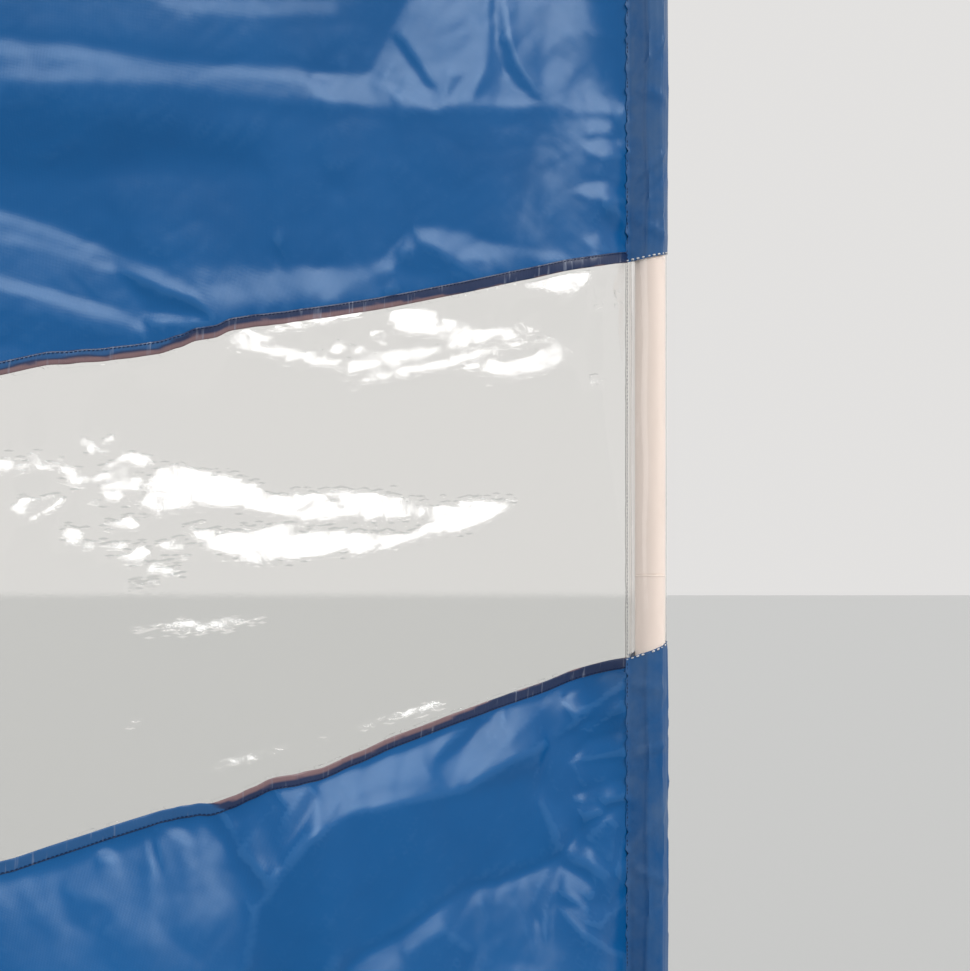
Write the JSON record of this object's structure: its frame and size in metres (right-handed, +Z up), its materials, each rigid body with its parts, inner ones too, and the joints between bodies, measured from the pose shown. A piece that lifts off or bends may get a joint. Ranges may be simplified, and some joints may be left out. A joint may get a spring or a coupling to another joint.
{
  "type": "beach windbreak",
  "caption": "Beach windbreak: a slack blue sheet with a clear window band, hung in bays on sleeved tube poles that stand in the ground.",
  "frame": {"origin": "centre of the foot of the end pole that the picture shows, at ground level", "axes": "the bays run off along -X, so +X points out of the row past its end pole; -Y is the front that the picture shows, +Z up"},
  "size_m": [4.53, 0.0614, 1.4071],
  "materials": {
    "blue_cloth": "satin coated nylon",
    "clear_film": "flexible clear film",
    "window_hem": "folded cloth under clear film",
    "pole_coat": "smooth cream coating",
    "cap_plastic": "moulded cream plastic"
  },
  "bodies": {
    "root": {"pole_1_lower": "pole_coat", "pole_1_upper": "pole_coat", "pole_2_lower": "pole_coat", "pole_2_upper": "pole_coat", "pole_3_lower": "pole_coat", "pole_3_upper": "pole_coat", "pole_4_lower": "pole_coat", "pole_4_upper": "pole_coat", "sleeve_1": "blue_cloth", "window_sleeve_1": "clear_film", "sleeve_2": "blue_cloth", "window_sleeve_2": "clear_film", "sleeve_3": "blue_cloth", "window_sleeve_3": "clear_film", "sleeve_4": "blue_cloth", "window_sleeve_4": "clear_film", "upper_cloth_1": "blue_cloth", "window_1": "clear_film", "lower_cloth_1": "blue_cloth", "upper_cloth_2": "blue_cloth", "window_2": "clear_film", "lower_cloth_2": "blue_cloth", "upper_cloth_3": "blue_cloth", "window_3": "clear_film", "lower_cloth_3": "blue_cloth", "pole_caps": "cap_plastic", "window_hem_upper": "window_hem", "window_hem_lower": "window_hem", "head_hem": "blue_cloth", "foot_hem": "blue_cloth"}
  },
  "joints": []
}
